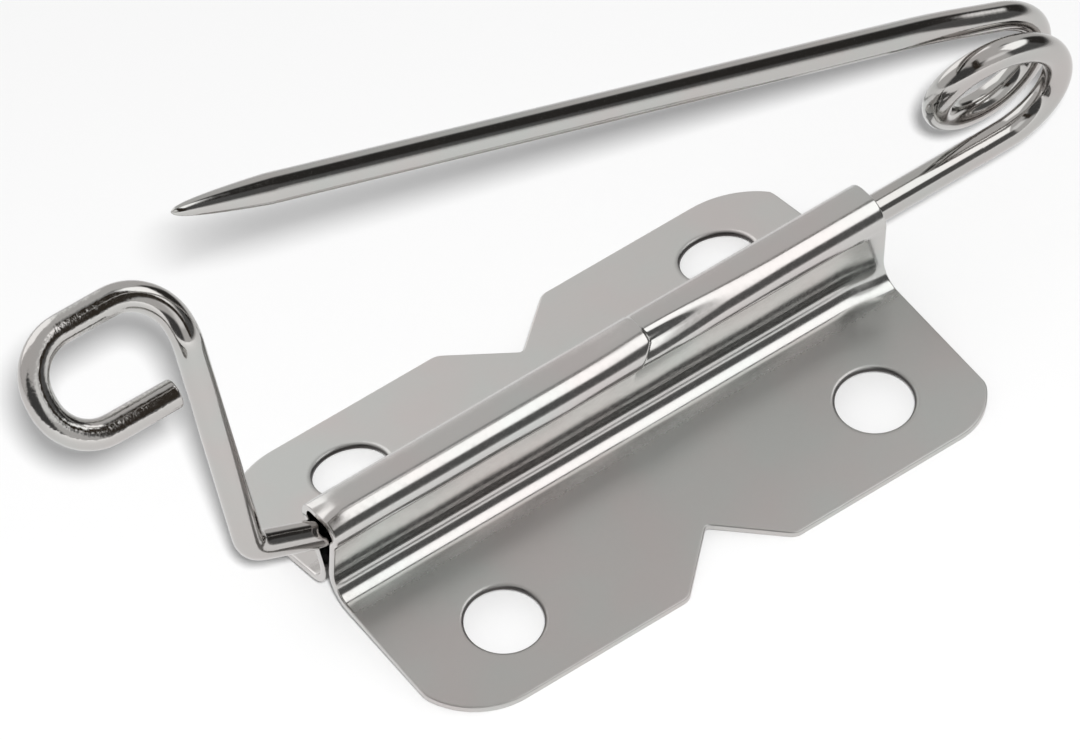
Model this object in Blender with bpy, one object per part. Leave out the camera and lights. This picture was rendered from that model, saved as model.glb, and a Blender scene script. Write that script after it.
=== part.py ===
"""Corsage pin finding: a folded plate holds one bent wire, with a catch hook, a spring coil and a pin arm.

Metres, +Z up. X runs along the plate from the hook to the coil, and the near wing lies toward -Y.
Heights are measured from the fold, where the wings' top meets the ridge's walls, until the last step
stands the part on its wings' outer edges.
"""

import math

import bpy
import bmesh
from mathutils import Vector

# Wire and sheet
wire_diameter = 0.00115
wire_height = 0.00304
end_gap = 0.0003
sheet = 0.0003

# Plate: length along X to each side of the notches, plan half width, slope of the wings
plate_left = 0.01285
plate_right = 0.0123
plate_half_width = 0.0082
wing_slope = math.radians(8.25)

# Ridge folded over the wire
ridge_height = 0.00444
wire_side_gap = 0.0002
fold_radius = 0.00035

# Crimp in the ridge's crown, from its sharp side to where it fades out
crimp_start = 0.0016
crimp_step = 0.0002
crimp_end = 0.0042
crimp_wire_gap = 0.0002

# Plan outline: corner radii, how far the ends cut the corners off, and the notches
left_corner_radius = 0.0032
left_near_cut = 0.0001
left_far_cut = 0.0005
right_near_radius = 0.0025
right_near_cut = 0.00025
right_far_radius = 0.00325
right_far_cut = 0.0005
notch_half_mouth = 0.00245
notch_depth = 0.0023
notch_mouth_radius = 0.0006
notch_apex_radius = 0.00015

# Sewing holes, by their distance from the middle and from the wing's outer edge along the slope
hole_diameter = 0.003
hole_from_middle = 0.00851
hole_from_edge = 0.00325
cut_overrun = 0.002

# Catch: base bend, upright, and the ring that lies in a plane tilted toward the near wing
catch_inside = 0.0006
base_bend_out = 0.00289
base_bend_rise = 0.0013
upright_height = 0.0109
upright_lean_out = math.radians(3.5)
upright_lean_back = math.radians(4)
ring_tilt = math.radians(45)
ring_back = 0.00245
ring_front = 0.00155
ring_length = 0.00595
ring_mouth = 0.00138
tunnel_bend_radius = 0.0012
base_bend_radius = 0.0008
ring_root_radius = 0.001
ring_back_radius = 0.002
ring_far_radius = 0.0019
ring_front_radius = 0.00185

# Coil: where it starts past the plate, and its winding
coil_from_plate = 0.00624
coil_radius = 0.00239
coil_pitch = 0.00157
coil_turns = 1.46
coil_tilt = math.radians(17)
points_per_curl = 10

# Pin arm
knee_run = 0.003
knee_radius = 0.012
arm_length = 0.0374
arm_rise = math.radians(24)
arm_side = math.radians(4.8)
taper_length = 0.0036
tip_radius = 0.00012

wire_radius = wire_diameter / 2
ridge_half_width = wire_radius + wire_side_gap + sheet
crown_centre_height = ridge_height - ridge_half_width
wing_width = (plate_half_width - ridge_half_width) / math.cos(wing_slope)


def clear_scene():
    """Empties the file of whatever objects it opened with."""
    for thing in list(bpy.data.objects):
        bpy.data.objects.remove(thing, do_unlink=True)


def metal(name, colour, roughness):
    """A plain metallic finish for one piece."""
    finish = bpy.data.materials.new(name)
    finish.use_nodes = True
    shader = finish.node_tree.nodes["Principled BSDF"]
    shader.inputs["Base Color"].default_value = (*colour, 1)
    shader.inputs["Metallic"].default_value = 1
    shader.inputs["Roughness"].default_value = roughness
    return finish


def empty(name, place, parent=None):
    """A point that other objects are carried by."""
    point = bpy.data.objects.new(name, None)
    point.location = place
    point.parent = parent
    bpy.context.scene.collection.objects.link(point)
    return point


def fillet(before, corner, after, radius, steps):
    """Points of the arc that rounds one corner, from one straight run to the next."""
    to_before = (before - corner).normalized()
    to_after = (after - corner).normalized()
    half_angle = to_before.angle(to_after) / 2
    centre = corner + (to_before + to_after).normalized() * (radius / math.sin(half_angle))
    first = corner + to_before * (radius / math.tan(half_angle)) - centre
    turn = math.pi - 2 * half_angle
    sideways = ((to_after - to_before).normalized() - first.normalized()
                * (to_after - to_before).normalized().dot(first.normalized())).normalized() * radius
    return [centre + first * math.cos(turn * k / steps) + sideways * math.sin(turn * k / steps)
            for k in range(steps + 1)]


def rounded_path(corners, radii, steps=6, closed=False):
    """A line through the corners with each bend rounded by its own radius."""
    count = len(corners)
    bends = range(count) if closed else range(1, count - 1)
    inner = [point for i, radius in zip(bends, radii)
             for point in fillet(corners[i - 1], corners[i], corners[(i + 1) % count], radius, steps)]
    return inner if closed else [corners[0], *inner, corners[-1]]


def wire(name, points, parent, finish, shares=None, sides=4):
    """A closed tube along a line of points, with flat ends, thinned where a share is below 1."""
    line = bpy.data.curves.new(name, "CURVE")
    line.dimensions = "3D"
    line.bevel_depth = wire_radius
    line.bevel_resolution = sides
    line.use_fill_caps = True
    spline = line.splines.new("POLY")
    spline.points.add(len(points) - 1)
    for place, point in zip(spline.points, points):
        place.co = (*(point - parent.location), 1)
    for place, share in zip(spline.points, shares or []):
        place.radius = share
    spline.use_smooth = True
    line.materials.append(finish)
    tube = bpy.data.objects.new(name, line)
    tube.parent = parent
    bpy.context.scene.collection.objects.link(tube)
    return tube


def solid(name, body, parent, finish=None):
    """An object made from a bmesh."""
    shape = bpy.data.meshes.new(name)
    bmesh.ops.recalc_face_normals(body, faces=body.faces)
    body.to_mesh(shape)
    body.free()
    if finish:
        shape.materials.append(finish)
    piece = bpy.data.objects.new(name, shape)
    piece.parent = parent
    bpy.context.scene.collection.objects.link(piece)
    return piece


def combine(target, cutter, operation):
    """Adds an exact Boolean and leaves its cutter out of renders."""
    cutter.hide_render = True
    cutter.display_type = "WIRE"
    step = target.modifiers.new(cutter.name, "BOOLEAN")
    step.operation = operation
    step.object = cutter


def crimp_share(x):
    """How deep the crimp is at one place along the ridge, as a share of its full depth."""
    if x <= crimp_start or x >= crimp_end:
        return 0
    if x < crimp_start + crimp_step:
        return (x - crimp_start) / crimp_step
    fade = (crimp_end - x) / (crimp_end - crimp_start - crimp_step)
    return fade * fade * (3 - 2 * fade)


def sheet_line(inset, crown_drop, reach):
    """One face of the folded sheet as (y, z): wing, bend, wall, arch and the same again."""
    bend_radius = fold_radius + inset
    bend_y = -ridge_half_width - fold_radius
    bend_z = fold_radius * (1 / math.cos(wing_slope) - math.tan(wing_slope))
    edge = Vector((-reach, -(reach - ridge_half_width) * math.tan(wing_slope) - inset / math.cos(wing_slope)))
    near = [edge]
    bend_steps = 4
    for k in range(bend_steps + 1):
        angle = (wing_slope - math.pi / 2) * (1 - k / bend_steps)
        near.append(Vector((bend_y + bend_radius * math.cos(angle), bend_z + bend_radius * math.sin(angle))))
    arch_radius = ridge_half_width - inset
    arch_steps = 12
    arch = []
    for k in range(arch_steps + 1):
        angle = math.pi * (1 - k / arch_steps)
        height = crown_centre_height - crown_drop + arch_radius * math.sin(angle)
        arch.append(Vector((arch_radius * math.cos(angle), height)))
    far = [Vector((-point.x, point.y)) for point in reversed(near)]
    return near + arch + far


def folded_sheet():
    """The sheet lofted along the ridge, from one end of the plate to the other."""
    crimp_room = ridge_height - sheet - wire_height - wire_radius
    crimp_depth = crimp_room - crimp_wire_gap
    fade_steps = 6
    fade_length = (crimp_end - crimp_start - crimp_step) / fade_steps
    stations = [-plate_left, crimp_start]
    stations += [crimp_start + crimp_step + fade_length * k for k in range(fade_steps + 1)]
    stations += [plate_right]
    body = bmesh.new()
    loops = []
    for x in stations:
        drop = crimp_depth * crimp_share(x)
        reach = plate_half_width + cut_overrun
        faces = [sheet_line(inset, drop, reach) for inset in (0, sheet)]
        loops.append([[body.verts.new((x, point.x, point.y)) for point in face] for face in faces])
    across = len(loops[0][0])
    for (top_a, under_a), (top_b, under_b) in zip(loops, loops[1:]):
        for k in range(across - 1):
            body.faces.new((top_a[k], top_a[k + 1], top_b[k + 1], top_b[k]))
            body.faces.new((under_a[k], under_b[k], under_b[k + 1], under_a[k + 1]))
        body.faces.new((top_a[0], top_b[0], under_b[0], under_a[0]))
        body.faces.new((top_a[-1], under_a[-1], under_b[-1], top_b[-1]))
    for top, under in (loops[0], loops[-1]):
        for k in range(across - 1):
            body.faces.new((top[k], under[k], under[k + 1], top[k + 1]))
    return body


def plate_outline():
    """Corners of the plan outline and their radii, near wing first, counter-clockwise."""
    edge = plate_half_width
    apex = plate_half_width - notch_depth
    left_near = (-plate_left - left_near_cut, -edge, left_corner_radius)
    right_near = (plate_right + right_near_cut, -edge, right_near_radius)
    right_far = (plate_right + right_far_cut, edge, right_far_radius)
    left_far = (-plate_left - left_far_cut, edge, left_corner_radius)
    notch = [(-notch_half_mouth, edge, notch_mouth_radius), (0, apex, notch_apex_radius),
             (notch_half_mouth, edge, notch_mouth_radius)]
    near_notch = [(x, -y, radius) for x, y, radius in notch]
    far_notch = list(reversed(notch))
    corners = [left_near, *near_notch, right_near, right_far, *far_notch, left_far]
    return rounded_path([Vector((x, y, 0)) for x, y, _ in corners], [radius for _, _, radius in corners],
                        closed=True)


def outline_block(parent):
    """The plan outline as a block that is taller than the folded sheet."""
    body = bmesh.new()
    floor = -wing_width * math.sin(wing_slope) - cut_overrun
    outline = body.faces.new([body.verts.new(point + Vector((0, 0, floor))) for point in plate_outline()])
    grown = bmesh.ops.extrude_face_region(body, geom=[outline])
    risen = [part for part in grown["geom"] if isinstance(part, bmesh.types.BMVert)]
    bmesh.ops.translate(body, verts=risen, vec=(0, 0, ridge_height + cut_overrun - floor))
    return solid("outline_block", body, parent)


def wing_point(side, x, from_edge, below=0):
    """A place on a wing, by its distance from the outer edge along the slope and below the top face."""
    along = wing_width - from_edge
    y = ridge_half_width + along * math.cos(wing_slope) - below * math.sin(wing_slope)
    z = -along * math.sin(wing_slope) - below * math.cos(wing_slope)
    return Vector((x, side * y, z))


def hole_drill(parent, number, side, x):
    """A drill that stands square to its wing."""
    body = bmesh.new()
    bmesh.ops.create_cone(body, cap_ends=True, segments=32, radius1=hole_diameter / 2,
                          radius2=hole_diameter / 2, depth=2 * cut_overrun)
    drill = solid(f"hole_drill_{number}", body, parent)
    drill.location = wing_point(side, x, hole_from_edge, sheet / 2)
    drill.rotation_euler = (-side * wing_slope, 0, 0)
    return drill


def back_plate(parent):
    """The folded sheet, trimmed to its outline and drilled for sewing."""
    plate = solid("back_plate", folded_sheet(), parent, metal("satin_plate", (0.62, 0.61, 0.60), 0.38))
    combine(plate, outline_block(parent), "INTERSECT")
    places = [(side, x) for side in (-1, 1) for x in (-hole_from_middle, hole_from_middle)]
    for number, (side, x) in enumerate(places):
        combine(plate, hole_drill(parent, number, side, x), "DIFFERENCE")
    return plate


def catch_line():
    """Centre line of the hook, from inside the ridge to the ring's cut end."""
    start = Vector((catch_inside - plate_left, 0, wire_height))
    mouth = Vector((-plate_left, 0, wire_height))
    base = mouth + Vector((-base_bend_out, 0, base_bend_rise))
    upward = Vector((-math.tan(upright_lean_out), math.tan(upright_lean_back), 1)).normalized()
    root = base + upward * upright_height
    outward = Vector((-1, 0, 0))
    backward = Vector((0, math.cos(ring_tilt), math.sin(ring_tilt)))
    back_corner = root + backward * ring_back
    far_corner = back_corner + outward * ring_length
    front_corner = far_corner - backward * (ring_back + ring_front)
    cut_end = root + outward * ring_mouth - backward * ring_front
    corners = [start, mouth, base, root, back_corner, far_corner, front_corner, cut_end]
    radii = [tunnel_bend_radius, base_bend_radius, ring_root_radius, ring_back_radius, ring_far_radius,
             ring_front_radius]
    return rounded_path(corners, radii)


def coil_axes():
    """The coil's own axis and the two directions square to it, turned so that it starts along +X."""
    yaw = math.atan2(coil_pitch, 2 * math.pi * coil_radius)
    axis = Vector((math.sin(yaw), math.cos(yaw) * math.cos(coil_tilt), math.cos(yaw) * math.sin(coil_tilt)))
    across = (Vector((1, 0, 0)) - axis * axis.x).normalized()
    return axis, across, across.cross(axis)


coil_start = Vector((plate_right + coil_from_plate, 0, wire_height))


def coil_point(turn):
    """A place on the coil's centre line after some turns."""
    axis, across, upward = coil_axes()
    angle = 2 * math.pi * turn
    round_about = across * math.sin(angle) - upward * math.cos(angle)
    return coil_start + (upward + round_about) * coil_radius + axis * (coil_pitch * turn)


def coil_direction(turn):
    """The way the wire runs at a place on the coil."""
    axis, across, upward = coil_axes()
    angle = 2 * math.pi * turn
    round_about = across * math.cos(angle) + upward * math.sin(angle)
    return (round_about * (2 * math.pi * coil_radius) + axis * coil_pitch).normalized()


def coil_line():
    """Centre line of the coil, with a straight wire diameter at each end."""
    pieces = math.ceil(points_per_curl * coil_turns)
    curls = [coil_point(coil_turns * k / pieces) for k in range(pieces + 1)]
    lead_in = curls[0] - coil_direction(0) * wire_diameter
    lead_out = curls[-1] + coil_direction(coil_turns) * wire_diameter
    return [lead_in, *curls, lead_out]


def least_gap_to_itself(points):
    """Clear space between neighbouring curls, measured between points close together on the line."""
    samples = 12
    fine = [a.lerp(b, k / samples) for a, b in zip(points, points[1:]) for k in range(samples)]
    apart = samples * points_per_curl // 2
    distances = [(fine[i] - fine[j]).length for i in range(len(fine)) for j in range(i + apart, len(fine))]
    return min(distances) - wire_diameter


def arm_line():
    """Centre line of the pin arm and its thickness shares, from the coil to the point."""
    leaving = coil_direction(coil_turns)
    root = coil_point(coil_turns) + leaving * (wire_diameter + end_gap)
    knee = coil_point(coil_turns) + leaving * knee_run
    direction = Vector((-math.cos(arm_rise) * math.cos(arm_side), -math.sin(arm_side),
                        math.sin(arm_rise) * math.cos(arm_side)))
    tip = knee + direction * arm_length
    bend = fillet(root, knee, tip, knee_radius, 6)
    straight_steps = 8
    taper_root = tip - direction * taper_length
    straight = [bend[-1].lerp(taper_root, k / straight_steps) for k in range(1, straight_steps)]
    taper_steps = 4
    taper = [taper_root.lerp(tip, k / taper_steps) for k in range(taper_steps + 1)]
    tip_share = tip_radius / wire_radius
    shares = [1] * (1 + len(bend) + len(straight))
    shares += [1 + (tip_share - 1) * k / taper_steps for k in range(taper_steps + 1)]
    return [root, *bend, *straight, *taper], shares


def stand_on_wings(root, pieces):
    """Moves the whole part so that its box is centred over the origin and its base lies on it."""
    bpy.context.view_layer.update()
    graph = bpy.context.evaluated_depsgraph_get()
    corners = []
    for piece in pieces:
        evaluated = piece.evaluated_get(graph)
        shape = evaluated.to_mesh()
        corners += [evaluated.matrix_world @ vertex.co for vertex in shape.vertices]
        evaluated.to_mesh_clear()
    low = Vector([min(corner[k] for corner in corners) for k in range(3)])
    high = Vector([max(corner[k] for corner in corners) for k in range(3)])
    root.location = -Vector(((low.x + high.x) / 2, (low.y + high.y) / 2, low.z))
    bpy.context.view_layer.update()
    return low + root.location, high + root.location


clear_scene()
part = empty("corsage_pin", (0, 0, 0))
plated = metal("bright_wire", (0.78, 0.76, 0.73), 0.16)
axis, across, upward = coil_axes()
hinge_place = coil_start + upward * coil_radius + axis * (coil_pitch * coil_turns / 2)
hinge = empty("pin_hinge", hinge_place, part)

wire_left = Vector((catch_inside + end_gap - plate_left, 0, wire_height))
wire_right = coil_line()[0] - Vector((end_gap, 0, 0))
arm_points, arm_shares = arm_line()
pieces = [
    back_plate(part),
    wire("back_wire", [wire_left, wire_right], part, plated),
    wire("catch_hook", catch_line(), part, plated),
    wire("spring_coil", coil_line(), part, plated, sides=1),
    wire("pin_arm", arm_points, hinge, plated, arm_shares),
]
low, high = stand_on_wings(part, pieces)

shift = part.location
print("coil's least gap to itself in mm:", round(1000 * least_gap_to_itself(coil_line()), 3))
print("size in mm:", [round(1000 * (high[k] - low[k]), 2) for k in range(3)])
print("hinge:", [round(value, 6) for value in hinge_place + shift])
for side, wing in ((-1, "near"), (1, "far")):
    mount = wing_point(side, 0, wing_width - notch_depth, sheet) + shift
    facing = (0, -side * math.sin(wing_slope), -math.cos(wing_slope))
    print(wing, "wing face:", [round(value, 6) for value in mount], [round(value, 5) for value in facing])
print("ridge top:", round(ridge_height + shift.z, 6), "tip:", [round(value, 6) for value in arm_points[-1] + shift])
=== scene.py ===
"""Looks of a corsage pin finding: a folded, stamped plate round one bent wire.

The wire has a catch hook at its left and a spring coil and pin arm at its right. Metres, +Z up. X runs along
the ridge from the hook to the coil, and the camera looks from -X and -Y.
"""

import math

import bpy
import numpy as np
from mathutils import Matrix, Vector
from mathutils.geometry import delaunay_2d_cdt


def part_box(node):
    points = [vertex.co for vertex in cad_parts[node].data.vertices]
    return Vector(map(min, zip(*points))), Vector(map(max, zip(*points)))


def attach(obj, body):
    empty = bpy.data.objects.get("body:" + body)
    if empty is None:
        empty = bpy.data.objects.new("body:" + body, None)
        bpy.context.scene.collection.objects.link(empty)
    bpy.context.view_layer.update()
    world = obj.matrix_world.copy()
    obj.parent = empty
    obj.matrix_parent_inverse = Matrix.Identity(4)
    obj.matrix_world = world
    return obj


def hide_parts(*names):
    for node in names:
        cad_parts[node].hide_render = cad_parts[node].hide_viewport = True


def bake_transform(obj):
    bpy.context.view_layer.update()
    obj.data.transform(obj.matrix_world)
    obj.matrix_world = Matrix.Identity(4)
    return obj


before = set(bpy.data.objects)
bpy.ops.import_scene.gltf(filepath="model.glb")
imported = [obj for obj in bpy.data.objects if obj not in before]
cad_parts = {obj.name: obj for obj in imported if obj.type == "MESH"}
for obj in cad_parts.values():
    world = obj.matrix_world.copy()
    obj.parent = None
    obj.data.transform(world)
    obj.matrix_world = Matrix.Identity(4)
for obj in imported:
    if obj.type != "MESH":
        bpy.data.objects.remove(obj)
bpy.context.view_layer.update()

# Back plate
# Real piece: a stamped steel blank with two sewing holes and a notch on each side, folded round the wire
# into a ridge and closed with one crimp, then nickel plated. Its wings slope down and rest on the floor.

plate_low, plate_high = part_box("back_plate")
sheet = 0.0003
# The folded section, from the crown outward
cad_ridge_height = 0.00444
fold_level = plate_high.z - cad_ridge_height
wing_slope = math.radians(8.25)
cad_ridge_half = 0.001075
crown_height = 0.00416
crown_flat = 0.00023
arch_radius = 0.00092
lip_turn = math.radians(40)
lip_radius = 0.00012
lip_run = 0.00036
wall_pinch = math.radians(13)
waist_radius = 0.0011
waist_end = math.radians(66)
fold_radius = 0.0008
# Its right end, where the lip untucks and the wings past wing_from_foot stay in place
open_pinch = math.radians(12)
open_lip_turn = math.radians(1)
open_run = 0.002
wing_from_foot = 0.0008
# The blank's plan
half_width = (plate_high.y - plate_low.y) / 2
plate_left = plate_low.x
plate_right = plate_high.x
right_far_cut = 0.0005
right_near_cut = 0.00025
left_far_cut = 0.0005
left_near_cut = 0.0001
left_corner_radius = 0.0032
right_near_radius = 0.0025
right_far_radius = 0.00325
middle_x = plate_right - 0.0123
right_end_slant = 0.006
notch_half_mouth = 0.00245
notch_depth = 0.0023
notch_mouth_radius = 0.0006
notch_apex_radius = 0.00015
edge_spacing = 0.00012
# The sewing holes and the rounding of the cut edges
hole_radius = 0.0015
hole_from_middle = 0.00851
hole_from_edge = 0.00325
edge_round = 0.00006
hole_rim = 0.00017
hole_round = 0.00013
hole_points = 72


def running_line(turns, lengths):
    """A line's points from its turn angles and step lengths.

    They are the running sums of length*cos(turn) and -length*sin(turn), at the mean turn of each step.
    """
    middle = (turns[1:] + turns[:-1]) / 2
    y = np.concatenate([[0], np.cumsum(lengths * np.cos(middle))])
    z = np.concatenate([[0], np.cumsum(-lengths * np.sin(middle))])
    return y, z


def half_section(tuck_turn, tuck_run, pinch):
    """Half of the folded section, from the crown to beyond the wing's edge.

    It is given as arc length, y, height over the fold and turn angle. A narrow flat, an arch down to upright,
    a lip that tucks in under the wire, a straight wall that leans in by the pinch, a wide waist bend and a
    tighter fold out to the wing's slope. The wall's length is solved so that the foot lands on the wing.
    """
    upright = math.pi / 2
    bends = [(0, upright, arch_radius), (upright, upright + tuck_turn, lip_radius),
             (upright + tuck_turn, upright + pinch, lip_radius),
             (upright + pinch, waist_end, waist_radius), (waist_end, wing_slope, fold_radius)]
    runs_before = [crown_flat, 0, tuck_run, 0, 0]
    points_per_bend = 50
    turns = [[0]]
    lengths = []
    for (start, end, radius), run_before in zip(bends, runs_before):
        turns.append(np.linspace(start, end, points_per_bend))
        lengths.append([run_before])
        lengths.append(np.full(points_per_bend - 1, radius * abs(end - start) / (points_per_bend - 1)))
    turns = np.concatenate(turns + [[wing_slope]])
    lengths = np.concatenate(lengths + [[2 * half_width]])
    y, z = running_line(turns, lengths)
    slope = math.tan(wing_slope)
    drop = crown_height + z[-2] + (y[-2] - cad_ridge_half) * slope
    wall_step = 3 * points_per_bend
    lengths[wall_step] = drop / (math.cos(pinch) + math.sin(pinch) * slope)
    y, z = running_line(turns, lengths)
    return np.concatenate([[0], np.cumsum(lengths)]), y, z + crown_height, turns


tucked = half_section(lip_turn, lip_run, wall_pinch)
opened = half_section(open_lip_turn, 0, open_pinch)
foot_s = tucked[0][-2]
foot_y = tucked[1][-2]


def slope_place(y):
    """Arc length at which a wing reaches y, past the foot: the foot's and the run in plan over cos(slope)."""
    return foot_s + (y - foot_y) / math.cos(wing_slope)


def smooth_share(value, start, end):
    """0 before start, 1 after end and 3u*u - 2u*u*u between them."""
    u = np.clip((value - start) / (end - start), 0, 1)
    return u * u * (3 - 2 * u)


def hump(value, middle, half, power=2):
    """1 at the middle and falling away as exp(-|offset/half|**power)."""
    return np.exp(-np.abs((value - middle) / half) ** power)


# The crimp: a step that leans left as it goes down, a facet after it and a bulge before it
step_from_middle = 0.00165
step_lean = 0.8
step_lean_from = 0.0009
step_lean_to = 0.002
step_low_lean = 0.12
step_low_run = 0.002
step_before = 0.00005
step_after = 0.00012
facet_depth = 0.00014
facet_run = 0.0036
trail_depth = 0.00018
trail_run = 0.0062
facet_reach = 0.00086
facet_half_above = 0.00043
facet_half_below = 0.0009
bulge_height = 0.0001
bulge_run = 0.0018
bulge_s = -0.0002
bulge_half = 0.0009
# The crown's left end, nipped down on the wire
nip_depth = 0.00012
nip_run = 0.0007
# The crease and the sway along the waist
crease_depth = 0.00001
crease_reach = 0.00436
crease_pitch = 0.00036
crease_stop = 0.003
crease_fade = 0.0022
sway_depth = 0.000012
sway_length = 0.0049
sway_phase = 1.3
sway_reach = 0.003
sway_half = 0.0012


def dents(x, s):
    """Depth below the plain section.

    The crimp is a sharp step, which lies further left the lower it is, with a steep facet after it that
    fades out to the right in a short and a long run, and a low bulge before it. The crown is nipped down at
    its left end. One crease, a cosine across the waist, and a shallow sway, a sine along it, run below.
    """
    reach = np.abs(s)
    high_lean = step_lean * np.clip(reach - step_lean_from, 0, step_lean_to - step_lean_from)
    low_lean = step_low_lean * np.clip(reach - step_lean_to, 0, step_low_run)
    step = middle_x + step_from_middle - high_lean - low_lean
    after = smooth_share(x, step - step_before, step + step_after)
    facet_left = facet_depth * (1 - smooth_share(x, step, step + facet_run))
    trail_left = trail_depth * (1 - smooth_share(x, step, step + trail_run))
    facet_half = np.where(reach < facet_reach, facet_half_above, facet_half_below)
    facet = (facet_left + trail_left) * after * hump(s, -facet_reach, facet_half) * (s < 0)
    bulge = -bulge_height * (1 - after) * hump(x, step, bulge_run) * hump(s, bulge_s, bulge_half)
    nip = nip_depth * (1 - smooth_share(x, plate_left, plate_left + nip_run)) * hump(s, 0, nip_run)
    uncreased = smooth_share(x, plate_right - crease_stop, plate_right - crease_stop + crease_fade)
    wave = np.cos(2 * math.pi * (reach - crease_reach) / crease_pitch)
    crease = crease_depth * wave * hump(reach, crease_reach, crease_pitch / 2) * (1 - uncreased)
    along = np.sin(2 * math.pi * x / sway_length + sway_phase)
    sway = sway_depth * along * hump(reach, sway_reach, sway_half)
    return facet + bulge + nip + crease + sway


def folded(flat):
    """Folds points of the blank, given as x, s and depth below the outer face, into place.

    A point goes to the section's place at arc length |s|, mirrored for the near side, and down along the
    section's normal by its depth and dents. Over the last run to the right the lip untucks, with the wings
    left where they are.
    """
    x, s, depth = flat.T
    reach = np.abs(s)
    side = np.where(s < 0, -1.0, 1.0)
    wing_s = foot_s + wing_from_foot
    wing_open = opened[0][-2] + wing_from_foot + (foot_y - opened[1][-2]) / math.cos(wing_slope)
    reach_open = np.interp(reach, [0, wing_s, wing_s + half_width], [0, wing_open, wing_open + half_width])
    share = smooth_share(x, plate_right - open_run, plate_right)
    y, z, turn = [(1 - share) * np.interp(reach, tucked[0], tucked[k])
                  + share * np.interp(reach_open, opened[0], opened[k]) for k in (1, 2, 3)]
    sunk = depth + dents(x, s)
    return np.stack([x, side * (y - sunk * np.sin(turn)), fold_level + z - sunk * np.cos(turn)], axis=1)


def rounded_loop(corners, radii, steps):
    """A closed plan line through the corners, counter-clockwise, with each corner replaced by its arc.

    An arc's point is centre + (first*sin(turn - angle) + last*sin(angle))/sin(turn), where first and last
    lead from the centre to the arc's two ends.
    """
    points = []
    count = len(corners)
    for k in range(count):
        corner = np.array(corners[k], float)
        before = np.array(corners[k - 1], float) - corner
        after = np.array(corners[(k + 1) % count], float) - corner
        before /= np.linalg.norm(before)
        after /= np.linalg.norm(after)
        half = math.acos(np.clip(before @ after, -1, 1)) / 2
        middle = (before + after) / np.linalg.norm(before + after)
        centre = corner + middle * radii[k] / math.sin(half)
        first = corner + before * radii[k] / math.tan(half) - centre
        last = corner + after * radii[k] / math.tan(half) - centre
        turn = math.pi - 2 * half
        angles = np.linspace(0, turn, steps + 1)[:, None]
        points.append(centre + (first * np.sin(turn - angles) + last * np.sin(angles)) / math.sin(turn))
    return np.concatenate(points)


def even_loop(loop, spacing):
    """The same closed line with points an even distance apart."""
    closed = np.vstack([loop, loop[:1]])
    run = np.concatenate([[0], np.cumsum(np.linalg.norm(np.diff(closed, axis=0), axis=1))])
    count = int(round(run[-1] / spacing))
    places = np.arange(count) * run[-1] / count
    return np.stack([np.interp(places, run, closed[:, 0]), np.interp(places, run, closed[:, 1])], axis=1)


def inset_loop(loop, distance):
    """A closed line moved to its left by a distance, square to the mean way of its two sides."""
    ahead = np.roll(loop, -1, axis=0) - loop
    ahead /= np.linalg.norm(ahead, axis=1)[:, None]
    along = ahead + np.roll(ahead, 1, axis=0)
    along /= np.linalg.norm(along, axis=1)[:, None]
    return loop + distance * np.stack([-along[:, 1], along[:, 0]], axis=1)


def inside_loop(points, loop):
    """Which points lie inside a closed line, by counting how often a ray toward +X crosses it."""
    x, y = points[:, 0][:, None], points[:, 1][:, None]
    x0, y0 = loop[:, 0], loop[:, 1]
    x1, y1 = np.roll(x0, -1), np.roll(y0, -1)
    no_zero = 1e-15
    crosses = ((y0 > y) != (y1 > y)) & (x < (x1 - x0) * (y - y0) / (y1 - y0 + no_zero) + x0)
    return crosses.sum(axis=1) % 2 == 1


def blank_outline():
    """The blank's edge in x and arc length s: the plan outline, unfolded.

    Short of the foot, s grows evenly with y. Past it, the wings are laid out along their slope.
    """
    edge = half_width
    apex = half_width - notch_depth
    mouth_left = middle_x - notch_half_mouth
    mouth_right = middle_x + notch_half_mouth
    near_notch = [(mouth_left, -edge), (middle_x, -apex), (mouth_right, -edge)]
    far_notch = [(mouth_right, edge), (middle_x, apex), (mouth_left, edge)]
    corners = [(plate_left - left_near_cut, -edge), *near_notch, (plate_right + right_near_cut, -edge),
               (plate_right + right_far_cut, edge), *far_notch, (plate_left - left_far_cut, edge)]
    notch_radii = [notch_mouth_radius, notch_apex_radius, notch_mouth_radius]
    radii = [left_corner_radius, *notch_radii, right_near_radius,
             right_far_radius, *notch_radii, left_corner_radius]
    plan = rounded_loop(corners, radii, steps=16)
    plan[:, 0] = np.clip(plan[:, 0], plate_left, plate_right - right_end_slant * plan[:, 1])
    s = np.sign(plan[:, 1]) * np.interp(np.abs(plan[:, 1]), [0, foot_y, 2 * half_width],
                                        [0, foot_s, slope_place(2 * half_width)])
    return even_loop(np.stack([plan[:, 0], s], axis=1), edge_spacing)


hole_places = [np.array([middle_x + x, side * (slope_place(half_width) - hole_from_edge)])
               for side in (-1, 1) for x in (-hole_from_middle, hole_from_middle)]


def hole_loop(centre):
    """A sewing hole's edge in x and s, clockwise, so that its left side is the sheet."""
    angles = -np.linspace(0, 2 * math.pi, hole_points, endpoint=False)
    return centre + hole_radius * np.stack([np.cos(angles), np.sin(angles)], axis=1)


def rounded_edge(loop, plan_round, depth_round, steps):
    """Rings from the outer face round the cut edge to the inner face, as (x, s, depth) with equal counts.

    With t from 0 to a quarter turn, a ring is the edge moved in by plan_round*(1 - sin t) at the depth
    depth_round*(1 - cos t), and the rings of the inner face mirror these.
    """
    outer = []
    for angle in np.linspace(0, math.pi / 2, steps):
        plan = inset_loop(loop, plan_round * (1 - math.sin(angle)))
        outer.append(np.column_stack([plan, np.full(len(plan), depth_round * (1 - math.cos(angle)))]))
    inner = [ring * (1, 1, -1) + (0, 0, sheet) for ring in outer[::-1]]
    return outer + inner


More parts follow.
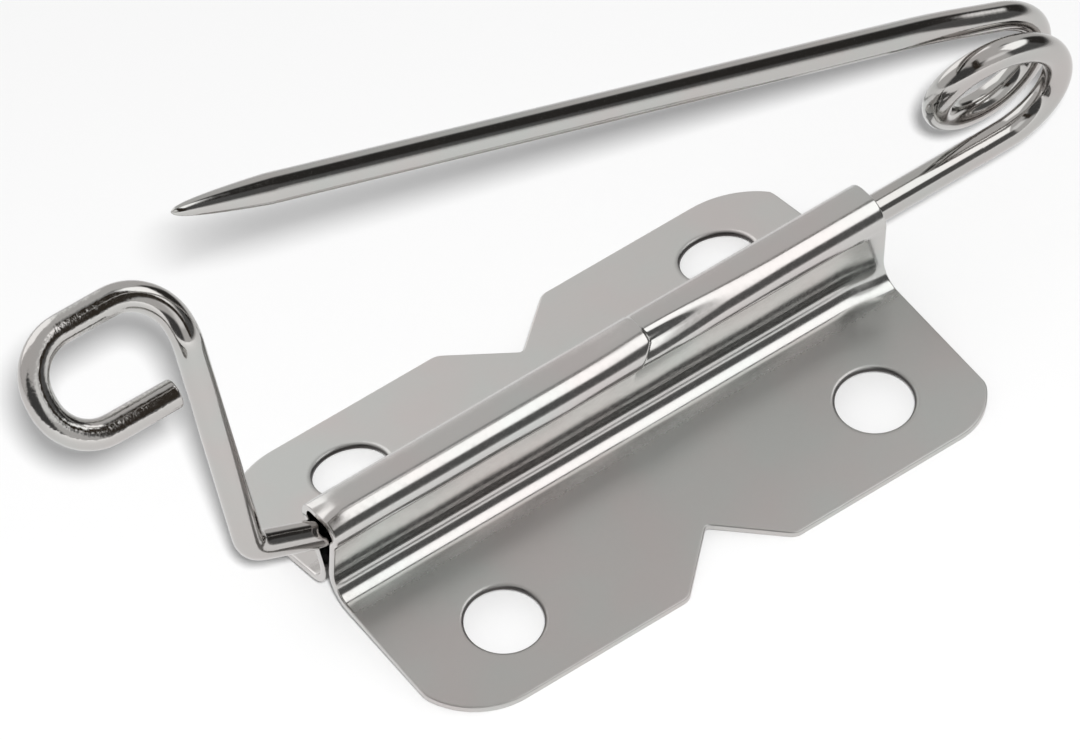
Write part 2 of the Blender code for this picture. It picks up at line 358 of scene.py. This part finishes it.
def in_sheet(points, loops):
    """Which points lie inside the first loop and outside all the others."""
    inside = inside_loop(points, loops[0])
    for loop in loops[1:]:
        inside &= ~inside_loop(points, loop)
    return inside


# Where the mesh changes its spacing: outward from the crown, and from left to right
lip_from = 0.0016
wall_from = 0.00225
waist_from = 0.0039
fold_from = 0.0048
wing_from = foot_s + 0.0003
crimp = middle_x + 0.0012
crimp_from = crimp - 0.0015
crimp_to = crimp + 0.0015
facet_to = crimp + 0.005
edge_support = 0.00005
edge_clear = 0.00006


def blank_grid():
    """Grid points in x and s, closer together where the section bends and at the crimp.

    Each span is a start, an end and a spacing. The rows' spans are the crown, lip, wall, waist, fold and
    wing, mirrored to the near side.
    """
    spans = [(0, lip_from, 0.00005), (lip_from, wall_from, 0.00002), (wall_from, waist_from, 0.00006),
             (waist_from, fold_from, 0.00003), (fold_from, wing_from, 0.00005),
             (wing_from, half_width * 2, 0.0004)]
    rows = np.concatenate([np.arange(*span) for span in spans])
    rows = np.concatenate([-rows[:0:-1], rows])
    spans = [(plate_left, crimp_from, 0.0004), (crimp_from, crimp_to, 0.00006), (crimp_to, facet_to, 0.0002),
             (facet_to, plate_right, 0.0004)]
    columns = np.concatenate([np.arange(*span) for span in spans])
    grid_x, grid_s = np.meshgrid(columns, rows)
    return np.stack([grid_x.ravel(), grid_s.ravel()], axis=1)


def plate_mesh():
    """Points in (x, s, depth) and faces of the whole sheet.

    Its outer and inner face are triangulated alike, and the rounded cut edges join them.
    """
    outline = blank_outline()
    holes = [hole_loop(place) for place in hole_places]
    edges = [rounded_edge(outline, edge_round, edge_round, steps=5)]
    edges += [rounded_edge(hole, hole_rim, hole_round, steps=8) for hole in holes]
    limits = [inset_loop(outline, edge_round + edge_clear)]
    limits += [inset_loop(hole, hole_rim + edge_clear) for hole in holes]
    loops = [rings[0][:, :2] for rings in edges]
    support = [inset_loop(loop, edge_support) for loop in loops]
    fill = blank_grid()
    fill = fill[in_sheet(fill, limits)]
    points = np.concatenate(loops + support + [fill])
    starts = np.concatenate([[0], np.cumsum([len(loop) for loop in loops])]).astype(int)
    borders = [(int(start + k), int(start + (k + 1) % len(loop)))
               for start, loop in zip(starts, loops) for k in range(len(loop))]
    millimetres = [Vector(point) * 1000 for point in points.tolist()]
    whole_hull = 0
    merge_within = 1e-7
    _, _, triangles, origin, _, _ = delaunay_2d_cdt(millimetres, borders, [], whole_hull, merge_within)
    order = np.array([first[0] if first else -1 for first in origin])
    triangles = order[np.array(triangles)]
    good = in_sheet(points[triangles].mean(axis=1), loops)
    triangles = triangles[good]
    count = len(points)
    top = np.column_stack([points, np.zeros(count)])
    under = np.column_stack([points, np.full(count, sheet)])
    body = [top, under]
    faces = [triangles, triangles[:, ::-1] + count]
    offset = 2 * count
    for start, rings in zip(starts, edges):
        around = len(rings[0])
        index = [np.arange(around) + start]
        for ring in rings[1:-1]:
            body.append(ring)
            index.append(np.arange(around) + offset)
            offset += around
        index.append(np.arange(around) + start + count)
        for a, b in zip(index, index[1:]):
            faces.append(np.stack([a, b, np.roll(b, -1), np.roll(a, -1)], axis=1))
    return np.concatenate(body), [face for part in faces for face in part.tolist()]


def mesh_object(name, points, faces, material, smooth=True):
    """A mesh object at the origin from point and face arrays."""
    shape = bpy.data.meshes.new(name)
    shape.from_pydata(points.tolist(), [], [list(face) for face in faces])
    shape.validate()
    shape.polygons.foreach_set("use_smooth", np.full(len(shape.polygons), smooth))
    shape.materials.append(material)
    thing = bpy.data.objects.new(name, shape)
    bpy.context.scene.collection.objects.link(thing)
    return thing


def mark_points(thing, name, values):
    """Stores one number for each point of a mesh, for a material to read by name."""
    marks = thing.data.attributes.new(name, "FLOAT", "POINT")
    marks.data.foreach_set("value", values.astype(np.float32))


def feed(tree, value, target):
    """Gives an input a value of its own, or joins it to another node's output."""
    if isinstance(value, bpy.types.NodeSocket):
        tree.links.new(value, target)
    else:
        target.default_value = value


def node(tree, kind, **values):
    """A node with its settings, and with its inputs fed by name, where _ stands for a space."""
    made = tree.nodes.new(kind)
    for key, value in values.items():
        socket = key.replace("_", " ")
        if socket in made.inputs:
            feed(tree, value, made.inputs[socket])
        else:
            setattr(made, key, value)
    return made


def maths(tree, operation, *values):
    """The result of one operation on numbers and other nodes' outputs."""
    made = node(tree, "ShaderNodeMath", operation=operation)
    for target, value in zip(made.inputs, values):
        feed(tree, value, target)
    return made.outputs[0]


def mixed(tree, share, first, second, blend_type="MIX"):
    """Two colours mixed by a share. Inputs 0, 6 and 7 are the share and the colours."""
    made = node(tree, "ShaderNodeMix", data_type="RGBA", blend_type=blend_type)
    for index, value in ((0, share), (6, first), (7, second)):
        feed(tree, value, made.inputs[index])
    return made.outputs[2]


def node_group(name, inputs, outputs):
    """A node group with its sockets by name and kind, and its input and output nodes."""
    tree = bpy.data.node_groups.new(name, "ShaderNodeTree")
    for way, sockets in (("INPUT", inputs), ("OUTPUT", outputs)):
        for socket, kind in sockets.items():
            tree.interface.new_socket(socket, in_out=way, socket_type="NodeSocket" + kind)
    return tree, node(tree, "NodeGroupInput"), node(tree, "NodeGroupOutput")


def plating_group():
    """Nickel plating: broad warm and cool patches, an uneven gloss and small pits."""
    tree, given, wanted = node_group(
        "nickel_plating",
        {"Place": "Vector", "Patch Scale": "Float", "Base": "Color", "Pits": "Float"},
        {"Colour": "Color", "Roughness Lift": "Float", "Normal": "Vector"})
    place = given.outputs["Place"]
    patches = node(tree, "ShaderNodeTexNoise", Vector=place, Scale=given.outputs["Patch Scale"], Detail=2.0)
    ramp = node(tree, "ShaderNodeValToRGB", Fac=patches.outputs["Fac"])
    warm, cool = ramp.color_ramp.elements
    warm.position = 0.35
    warm.color = (1.0, 0.965, 0.96, 1)
    cool.position = 0.65
    cool.color = (0.965, 0.995, 0.985, 1)
    tint = mixed(tree, 1, given.outputs["Base"], ramp.outputs["Color"], "MULTIPLY")
    fine = node(tree, "ShaderNodeTexNoise", Vector=place, Scale=5200.0, Detail=3.0)
    lift = node(tree, "ShaderNodeMapRange", Value=fine.outputs["Fac"], From_Min=0.4, From_Max=0.7,
                To_Min=0.0, To_Max=0.06)
    bump = node(tree, "ShaderNodeBump", Strength=given.outputs["Pits"], Distance=0.000012,
                Height=fine.outputs["Fac"])
    feed(tree, tint, wanted.inputs["Colour"])
    feed(tree, lift.outputs["Result"], wanted.inputs["Roughness Lift"])
    feed(tree, bump.outputs["Normal"], wanted.inputs["Normal"])
    return tree


plating = plating_group()
# Painted shade: the near black that the walls of the sewing holes are darkened to
painted_hole_shade = (0.11, 0.1, 0.1, 1)
rolled_dullness = 0.2


def plated_material(name, base, roughness, patch_scale, pits):
    """Nickel with its plating group on Object coordinates.

    Two marks on a mesh change it: one paints shade, near black, onto the walls of the sewing holes, and
    rolled dulls what the folding tool has not rubbed.
    """
    finish = bpy.data.materials.new(name)
    finish.use_nodes = True
    tree = finish.node_tree
    place = node(tree, "ShaderNodeTexCoord", name="place")
    group = node(tree, "ShaderNodeGroup", name="plating", node_tree=plating, Place=place.outputs["Object"],
                 Patch_Scale=patch_scale, Base=(*base, 1), Pits=pits)
    # Painted shade on the sewing holes' walls: where their mark is set, the colour is multiplied toward near
    # black
    hole_shade_mark = node(tree, "ShaderNodeAttribute", attribute_name="hole_wall_painted_shade")
    rolled = node(tree, "ShaderNodeAttribute", attribute_name="rolled")
    colour = mixed(tree, hole_shade_mark.outputs["Fac"], group.outputs["Colour"], painted_hole_shade, "MULTIPLY")
    rough = maths(tree, "ADD", group.outputs["Roughness Lift"], roughness)
    rougher = maths(tree, "MULTIPLY_ADD", rolled.outputs["Fac"], rolled_dullness, rough)
    shader = tree.nodes["Principled BSDF"]
    shader.inputs["Metallic"].default_value = 1
    feed(tree, colour, shader.inputs["Base Color"])
    feed(tree, rougher, shader.inputs["Roughness"])
    feed(tree, group.outputs["Normal"], shader.inputs["Normal"])
    return finish


satin = plated_material("satin_nickel", base=(0.57, 0.56, 0.55), roughness=0.13, patch_scale=260, pits=0.02)
flat_points, plate_faces = plate_mesh()
plate = mesh_object("plate_sheet", folded(flat_points), plate_faces, satin)
# Painted shade inside the sewing holes: their rounded rims and walls, through the sheet's depth, are marked
# to be darkened
hole_shade_depth = 0.00016
hole_shade_half = 0.00012
from_hole = np.min([np.linalg.norm(flat_points[:, :2] - place, axis=1) for place in hole_places], axis=0)
hole_shade_share = hump(flat_points[:, 2], hole_shade_depth, hole_shade_half, power=4) * (from_hole < hole_radius + hole_rim)
mark_points(plate, "hole_wall_painted_shade", hole_shade_share)
rubbed_to = foot_s + 0.0001
rolled_from = foot_s + 0.0006
mark_points(plate, "rolled", smooth_share(np.abs(flat_points[:, 1]), rubbed_to, rolled_from))
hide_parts("back_plate")
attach(plate, "base")

# Base wire with the catch hook
# Real piece: hard drawn spring wire, nickel plated. It lies under the ridge, leaves it at the left, turns up
# into the upright and is bent round into an open ring for the pin's point. Its end is cut off square.

wire_low, wire_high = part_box("back_wire")
wire_radius = (wire_high.y - wire_low.y) / 2
wire_level = (wire_high.z + wire_low.z) / 2
wire_gap = 0.0003
# The bend under the plate's left end and the upright
bend_from_plate = 0.00289
bend_rise = 0.0013
upright_lean_left = math.radians(3.5)
upright_lean_far = math.radians(4)
upright_length = 0.0109
# The ring, in a tilted plane, and its cut end before the upright
ring_tilt = math.radians(45)
ring_back = 0.00245
ring_width = 0.00595
ring_drop = 0.004
cut_end_left = 0.00138
cut_end_front = 0.00155
cut_end_round = 0.00008
# Radii of the wire's bends
mouth_radius = 0.0012
base_radius = 0.0008
root_radius = 0.001
back_radius = 0.002
far_radius = 0.0019
front_radius = 0.00185


def fillet(before, corner, after, radius, steps):
    """The arc that rounds a corner between two straight runs, with its points as in rounded_loop."""
    to_before = (before - corner).normalized()
    to_after = (after - corner).normalized()
    half = to_before.angle(to_after) / 2
    centre = corner + (to_before + to_after).normalized() * (radius / math.sin(half))
    first = corner + to_before * (radius / math.tan(half)) - centre
    last = corner + to_after * (radius / math.tan(half)) - centre
    turn = math.pi - 2 * half
    arc = []
    for k in range(steps + 1):
        angle = turn * k / steps
        arc.append(centre + (first * math.sin(turn - angle) + last * math.sin(angle)) / math.sin(turn))
    return arc


def hook_line():
    """Centre line from the coil's start through the plate to the ring's cut end.

    It is made of straight runs from corner to corner, and each corner is rounded by a radius of its own.
    """
    start = Vector((wire_high.x + wire_gap, 0, wire_level))
    mouth = Vector((plate_left, 0, wire_level))
    base = mouth + Vector((-bend_from_plate, 0, bend_rise))
    upward = Vector((-math.tan(upright_lean_left), math.tan(upright_lean_far), 1)).normalized()
    root = base + upward * upright_length
    backward = Vector((0, math.cos(ring_tilt), math.sin(ring_tilt)))
    back_corner = root + backward * ring_back
    far_corner = back_corner + Vector((-ring_width, 0, 0))
    front_corner = far_corner - backward * ring_drop
    cut_end = root + Vector((-cut_end_left, 0, 0)) - backward * cut_end_front
    corners = [start, mouth, base, root, back_corner, far_corner, front_corner, cut_end]
    radii = [mouth_radius, base_radius, root_radius, back_radius, far_radius, front_radius]
    line = [start]
    for k, radius in enumerate(radii, 1):
        line += fillet(corners[k - 1], corners[k], corners[k + 1], radius, steps=24)
    return np.array([tuple(point) for point in line + [cut_end]])


def softened(line, spacing, window):
    """The line with even points, each the mean of its neighbours over a window, and its two ends kept."""
    run = np.concatenate([[0], np.cumsum(np.linalg.norm(np.diff(line, axis=0), axis=1))])
    count = int(round(run[-1] / spacing)) + 1
    places = np.linspace(0, run[-1], count)
    even = np.stack([np.interp(places, run, line[:, k]) for k in range(3)], axis=1)
    half = int(round(window / spacing / 2))
    padded = np.concatenate([2 * even[0] - even[half:0:-1], even, 2 * even[-1] - even[-2:-half - 2:-1]])
    kernel = np.ones(2 * half + 1) / (2 * half + 1)
    return np.stack([np.convolve(padded[:, k], kernel, mode="valid") for k in range(3)], axis=1)


def tube(name, line, radii, reference, material, start_round=0.0, end_round=0.0):
    """A closed round tube along a line.

    Each ring is place + radius*(cos a * side + sin a * rise), where side is the cross product of reference
    and tangent, and rise that of tangent and side. An end closes on a flat cap, sharp or with a rounded rim.
    """
    sides = 48
    rim_steps = 6
    tangents = np.gradient(line, axis=0)
    tangents /= np.linalg.norm(tangents, axis=1)[:, None]
    ends = []
    for rim, place, way, radius in ((start_round, line[0], -tangents[0], radii[0]),
                                    (end_round, line[-1], tangents[-1], radii[-1])):
        angles = np.linspace(0, math.pi / 2, rim_steps)[1:] if rim else np.zeros(0)
        centres = place + way * rim * (np.sin(angles)[:, None] - 1)
        ends.append((centres, radius - rim * (1 - np.cos(angles))))
    (first_places, first_radii), (last_places, last_radii) = ends
    keep_first = np.linalg.norm(line - line[0], axis=1) >= start_round
    keep_last = np.linalg.norm(line - line[-1], axis=1) >= end_round
    keep = (keep_first | (start_round == 0)) & (keep_last | (end_round == 0))
    places = np.concatenate([first_places[::-1], line[keep], last_places])
    sizes = np.concatenate([first_radii[::-1], radii[keep], last_radii])
    ways = np.concatenate([np.repeat(tangents[:1], len(first_places), axis=0), tangents[keep],
                           np.repeat(tangents[-1:], len(last_places), axis=0)])
    side = np.cross(reference, ways)
    side /= np.linalg.norm(side, axis=1)[:, None]
    rise = np.cross(ways, side)
    angles = np.linspace(0, 2 * math.pi, sides, endpoint=False)
    outward = np.cos(angles)[:, None] * side[:, None, :] + np.sin(angles)[:, None] * rise[:, None, :]
    rings = places[:, None, :] + sizes[:, None, None] * outward
    count = len(places)
    points = np.concatenate([rings.reshape(-1, 3), places[:1], places[-1:]])
    ring, turn = np.meshgrid(np.arange(count - 1), np.arange(sides), indexing="ij")
    here = ring * sides + turn
    beside = ring * sides + (turn + 1) % sides
    walls = np.stack([here, beside, beside + sides, here + sides], axis=-1).reshape(-1, 4)
    around = np.arange(sides)
    onward = (around + 1) % sides
    last = (count - 1) * sides
    first_cap = np.stack([np.full(sides, count * sides), onward, around], axis=1)
    last_cap = np.stack([np.full(sides, count * sides + 1), last + around, last + onward], axis=1)
    thing = mesh_object(name, points, walls.tolist() + first_cap.tolist() + last_cap.tolist(), material)
    shape = thing.data
    sharp = np.zeros(len(shape.edges), bool)
    ends_of = np.zeros(len(shape.edges) * 2, int)
    shape.edges.foreach_get("vertices", ends_of)
    pairs = ends_of.reshape(-1, 2)
    if not start_round:
        sharp |= (pairs < sides).all(axis=1)
    if not end_round:
        sharp |= ((pairs >= last) & (pairs < last + sides)).all(axis=1)
    marks = shape.attributes.new("sharp_edge", "BOOLEAN", "EDGE")
    marks.data.foreach_set("value", sharp)
    return thing


# Up the hook the plating is worn: its pits deepen over a run to the left of the plate
smooth_pits = 0.08
worn_pits = 0.9
worn_from = plate_left - 0.0042
worn_to = plate_left - 0.0062
bright = plated_material("bright_nickel", base=(0.5, 0.49, 0.478), roughness=0.09, patch_scale=300,
                         pits=smooth_pits)
bright_tree = bright.node_tree
spots = node(bright_tree, "ShaderNodeSeparateXYZ", Vector=bright_tree.nodes["place"].outputs["Object"])
worn = node(bright_tree, "ShaderNodeMapRange", Value=spots.outputs["X"], From_Min=worn_from, From_Max=worn_to,
            To_Min=smooth_pits, To_Max=worn_pits)
feed(bright_tree, worn.outputs["Result"], bright_tree.nodes["plating"].inputs["Pits"])
hook_path = softened(hook_line(), spacing=0.00008, window=0.0005)
hook_radii = np.full(len(hook_path), wire_radius)
hook = tube("base_wire_and_hook", hook_path, hook_radii, np.array([0.0, -1.0, 1.0]), bright,
            end_round=cut_end_round)
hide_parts("back_wire", "catch_hook")
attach(hook, "base")

# Spring coil
# Real piece: the same nickel plated wire, wound nearly one and a half times round a mandrel where it leaves
# the ridge at the right. It is one run with the wire on both sides of it, and springs the pin open.

coil_lead = 2 * wire_radius
coil_start = Vector((wire_high.x + wire_gap + coil_lead, 0, wire_level))
coil_radius = 0.00239
coil_pitch = 0.00157
coil_turns = 1.46
coil_tilt = math.radians(17)
coil_yaw = math.atan2(coil_pitch, 2 * math.pi * coil_radius)
coil_axis = Vector((math.sin(coil_yaw), math.cos(coil_yaw) * math.cos(coil_tilt),
                    math.cos(coil_yaw) * math.sin(coil_tilt)))
coil_across = (Vector((1, 0, 0)) - coil_axis * coil_axis.x).normalized()
coil_up = coil_across.cross(coil_axis)


def coil_place(turns):
    """Helix: start + up*R + R*(across*sin t - up*cos t) + axis*pitch*turns, with t the turned angle."""
    angle = 2 * math.pi * np.asarray(turns)[..., None]
    return (np.array(coil_start) + np.array(coil_up) * coil_radius
            + coil_radius * (np.array(coil_across) * np.sin(angle) - np.array(coil_up) * np.cos(angle))
            + np.array(coil_axis) * coil_pitch * np.asarray(turns)[..., None])


coil_points = 190
lead_points = 12
coil_curls = coil_place(np.linspace(0, coil_turns, coil_points))
coil_in = (coil_curls[1] - coil_curls[0]) / np.linalg.norm(coil_curls[1] - coil_curls[0])
coil_out = (coil_curls[-1] - coil_curls[-2]) / np.linalg.norm(coil_curls[-1] - coil_curls[-2])
lead = np.linspace(0, coil_lead, lead_points)[:, None]
coil_line = np.concatenate([coil_curls[0] - coil_in * lead[:0:-1], coil_curls,
                            coil_curls[-1] + coil_out * lead[1:]])
coil_radii = np.full(len(coil_line), wire_radius)
coil = tube("coil_winding", coil_line, coil_radii, np.array(coil_axis), bright)
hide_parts("spring_coil")
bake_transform(coil)

# Pin arm
# Real piece: the wire's free end, nickel plated like the rest, nearly straight and ground to a long point.
# It leaves the coil in a wide bend, stands open over the hook and closes by turning about the coil.

arm_root = Vector(coil_line[-1])
arm_leaving = Vector(coil_out)
knee_from_coil = 0.003
knee_radius = 0.012
arm_length = 0.0374
arm_knee = Vector(coil_curls[-1]) + arm_leaving * knee_from_coil
arm_rise = math.radians(24)
arm_side = math.radians(4.8)
arm_way = Vector((-math.cos(arm_rise) * math.cos(arm_side), -math.sin(arm_side),
                  math.sin(arm_rise) * math.cos(arm_side)))
arm_tip = arm_knee + arm_way * arm_length
arm_corners = [arm_root] + fillet(arm_root, arm_knee, arm_tip, knee_radius, steps=24) + [arm_tip]
arm_path = softened(np.array([tuple(point) for point in arm_corners]), spacing=0.00012, window=0.0008)
# The radius falls over the point as a power of the distance from the tip
point_length = 0.0044
point_radius = 0.00005
point_power = 0.42
from_tip = np.linalg.norm(arm_path - arm_path[-1], axis=1)
arm_radii = np.maximum(wire_radius * np.clip(from_tip / point_length, 0, 1) ** point_power, point_radius)
arm = tube("pin_arm_wire", arm_path, arm_radii, np.array([0.0, 0.0, 1.0]), bright)
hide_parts("pin_arm")
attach(arm, "pin")

# Floor
# A table top of matt white board, far wider than the picture. The outer edges of the wings rest on it, and
# the metal mirrors it.

floor_reach = 0.6
floor_paint = bpy.data.materials.new("floor_paint")
floor_paint.use_nodes = True
floor_shader = floor_paint.node_tree.nodes["Principled BSDF"]
floor_shader.inputs["Base Color"].default_value = (0.92, 0.92, 0.92, 1)
floor_shader.inputs["Roughness"].default_value = 0.9
floor_shader.inputs["Specular IOR Level"].default_value = 0
floor_corners = floor_reach * np.array([(-1, -1, 0), (1, -1, 0), (1, 1, 0), (-1, 1, 0)], float)
floor = mesh_object("floor", floor_corners, [(0, 1, 2, 3)], floor_paint, smooth=False)

# Light
# Soft boxes and dark flags, painted on the sky, as a studio shows them to metal, and an even fill for all
# that is matt. One soft key near the camera casts the shadow, and one dark flag stands before the ring.

camera_azimuth = math.radians(-29.475)
camera_elevation = math.radians(45.432)
camera_roll = math.radians(-8.252)
camera_back = Vector((math.sin(camera_azimuth) * math.cos(camera_elevation),
                      -math.cos(camera_azimuth) * math.cos(camera_elevation), math.sin(camera_elevation)))
level_right = Vector((math.cos(camera_azimuth), math.sin(camera_azimuth), 0))
level_up = camera_back.cross(level_right)
camera_right = math.cos(camera_roll) * level_right + math.sin(camera_roll) * level_up
camera_up = -math.sin(camera_roll) * level_right + math.cos(camera_roll) * level_up


def card_group():
    """A card of light or dark laid over the sky, full inside its span and softly gone outside it.

    Across and upward, its mask is the smooth step of (half span - distance from the middle)/softness from
    -0.5 to 0.5, and the two masks are multiplied.
    """
    spans = ("Middle Azimuth", "Middle Elevation", "Half Width", "Half Height", "Softness")
    inputs = {"Azimuth": "Float", "Elevation": "Float", **{name: "Float" for name in spans},
              "Sky": "Color", "Card": "Color"}
    tree, given, wanted = node_group("studio_card", inputs, {"Sky": "Color"})
    masks = []
    for value, middle, half in (("Azimuth", "Middle Azimuth", "Half Width"),
                                ("Elevation", "Middle Elevation", "Half Height")):
        off = maths(tree, "SUBTRACT", given.outputs[value], given.outputs[middle])
        distance = maths(tree, "ABSOLUTE", maths(tree, "WRAP", off, 180, -180))
        inside = maths(tree, "SUBTRACT", given.outputs[half], distance)
        share = maths(tree, "DIVIDE", inside, given.outputs["Softness"])
        mask = node(tree, "ShaderNodeMapRange", interpolation_type="SMOOTHSTEP", Value=share,
                    From_Min=-0.5, From_Max=0.5)
        masks.append(mask.outputs["Result"])
    both = maths(tree, "MULTIPLY", *masks)
    feed(tree, mixed(tree, both, given.outputs["Sky"], given.outputs["Card"]), wanted.inputs["Sky"])
    return tree


def grey(level, warmth=0.0):
    """A colour of one level, with its red raised and its blue lowered by the warmth's share."""
    return (level * (1 + warmth), level, level * (1 - warmth), 1)


world = bpy.data.worlds.new("studio")
world.use_nodes = True
bpy.context.scene.world = world
sky = world.node_tree
sky.nodes.clear()
way = node(sky, "ShaderNodeTexCoord")
parts = node(sky, "ShaderNodeSeparateXYZ", Vector=way.outputs["Generated"])
toward_camera = maths(sky, "MULTIPLY", parts.outputs["Y"], -1)
sky_azimuth = maths(sky, "DEGREES", maths(sky, "ARCTAN2", parts.outputs["X"], toward_camera))
sky_elevation = maths(sky, "DEGREES", maths(sky, "ARCSINE", parts.outputs["Z"]))
cards = card_group()


def lay_card(under, colour, azimuth, elevation, half_width, half_height, softness):
    """The sky's colour with one more card over it. In degrees, and azimuth counts from -Y toward +X."""
    card = node(sky, "ShaderNodeGroup", node_tree=cards, Azimuth=sky_azimuth, Elevation=sky_elevation,
                Middle_Azimuth=azimuth, Middle_Elevation=elevation, Half_Width=half_width,
                Half_Height=half_height, Softness=softness, Sky=under, Card=colour)
    return card.outputs["Sky"]


# The plain sky, a soft box behind, a dark flag low at the left and a soft strip before the object
shade = lay_card(grey(0.68, 0.01), grey(1.6), 187, 25, half_width=24, half_height=27, softness=9)
shade = lay_card(shade, grey(0.08), -65, 22, half_width=32, half_height=24, softness=14)
shade = lay_card(shade, grey(1.1), -8, 43, half_width=20, half_height=10, softness=10)
# A small grey card high at the right, a wide dark flag low there with a darker one in it, a soft box above
shade = lay_card(shade, grey(0.3), 112, 68, half_width=14, half_height=7, softness=12)
shade = lay_card(shade, grey(0.12), 62, 20, half_width=54, half_height=17, softness=8)
shade = lay_card(shade, grey(0.035, 0.06), 88, 25, half_width=22, half_height=16, softness=9)
shade = lay_card(shade, grey(1.78), 61, 56, half_width=39, half_height=17, softness=6)

# What is matt sees the even fill, mirrors see the cards, and the camera sees white
seen = node(sky, "ShaderNodeLightPath")
even_fill = node(sky, "ShaderNodeBackground", Color=grey(1), Strength=0.38)
mirrored_sky = node(sky, "ShaderNodeBackground", Color=shade, Strength=1.0)
white_backdrop = node(sky, "ShaderNodeBackground", Color=grey(1), Strength=1.0)
shown = even_fill.outputs[0]
for ray, light in (("Is Glossy Ray", mirrored_sky), ("Is Camera Ray", white_backdrop)):
    choice = node(sky, "ShaderNodeMixShader", Fac=seen.outputs[ray])
    feed(sky, shown, choice.inputs[1])
    feed(sky, light.outputs[0], choice.inputs[2])
    shown = choice.outputs[0]
node(sky, "ShaderNodeOutputWorld", Surface=shown)

key_distance = 0.5
key_width = 0.03
key_aside = math.radians(1.2)
key_above = math.radians(2.3)
key_share = 0.72
key_way = (camera_back + camera_right * math.tan(key_aside) + camera_up * math.tan(key_above)).normalized()
key_data = bpy.data.lights.new("key", "AREA")
key_data.shape = "DISK"
key_data.size = key_width
key_data.energy = key_share * (math.pi * key_distance) ** 2 / key_way.z
key = bpy.data.objects.new("key", key_data)
key.location = key_way * key_distance
key.rotation_euler = key_way.to_track_quat("Z", "Y").to_euler()
key.visible_glossy = False
bpy.context.scene.collection.objects.link(key)

flag_paint = bpy.data.materials.new("flag_paint")
flag_paint.use_nodes = True
flag_tree = flag_paint.node_tree
flag_tree.nodes.clear()
flag_glow = node(flag_tree, "ShaderNodeEmission", Color=grey(0.04, 0.2), Strength=1.0)
node(flag_tree, "ShaderNodeOutputMaterial", Surface=flag_glow.outputs[0])
# The flag stands before and above the ring's front leg, moved aside so that the camera sees it mirrored there
leg_y = -0.00034
leg_over_wire = 0.01106
flag_away = 0.04
flag_low = math.radians(12)
flag_high = math.radians(97)
flag_past_hook = 0.004
flag_width = 0.0102
ring_leg = Vector((0, leg_y, wire_level + leg_over_wire))
flag_edges = [ring_leg + flag_away * Vector((0, -math.cos(angle), math.sin(angle)))
              for angle in (flag_low, flag_high)]
mirrored_shift = -flag_away * camera_back.x / math.hypot(camera_back.y, camera_back.z)
flag_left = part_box("catch_hook")[0].x - flag_past_hook + mirrored_shift
flag_right = flag_left + flag_width
flag_points = np.array([(flag_left, *flag_edges[0].yz), (flag_right, *flag_edges[0].yz),
                        (flag_right, *flag_edges[1].yz), (flag_left, *flag_edges[1].yz)])
flag = mesh_object("dark_flag", flag_points, [(0, 1, 2, 3)], flag_paint, smooth=False)
flag.visible_camera = False
flag.visible_diffuse = False
flag.visible_shadow = False

# Camera
# Where the photograph was taken from: high over the near left corner, with a long lens. The view was fitted
# to the plate's outline, its four holes and its fold.

camera_distance = 0.36598
aim_right = -0.002658
aim_up = 0.001996
aim_height = 0.001376
aim_fold = Vector((middle_x, 0, aim_height))
focal_pixels = 9818.36
picture_width = 1080
camera_data = bpy.data.cameras.new("camera")
camera_data.sensor_width = 36
camera_data.lens = focal_pixels * camera_data.sensor_width / picture_width
camera_data.clip_start = 0.01
camera_data.clip_end = 5
camera = bpy.data.objects.new("camera", camera_data)
camera_turn = Matrix((camera_right, camera_up, camera_back)).transposed().to_4x4()
camera_place = aim_fold + camera_back * camera_distance + camera_right * aim_right + camera_up * aim_up
camera.matrix_world = Matrix.Translation(camera_place) @ camera_turn
bpy.context.scene.collection.objects.link(camera)
bpy.context.scene.camera = camera
bpy.context.scene.view_settings.view_transform = "Standard"
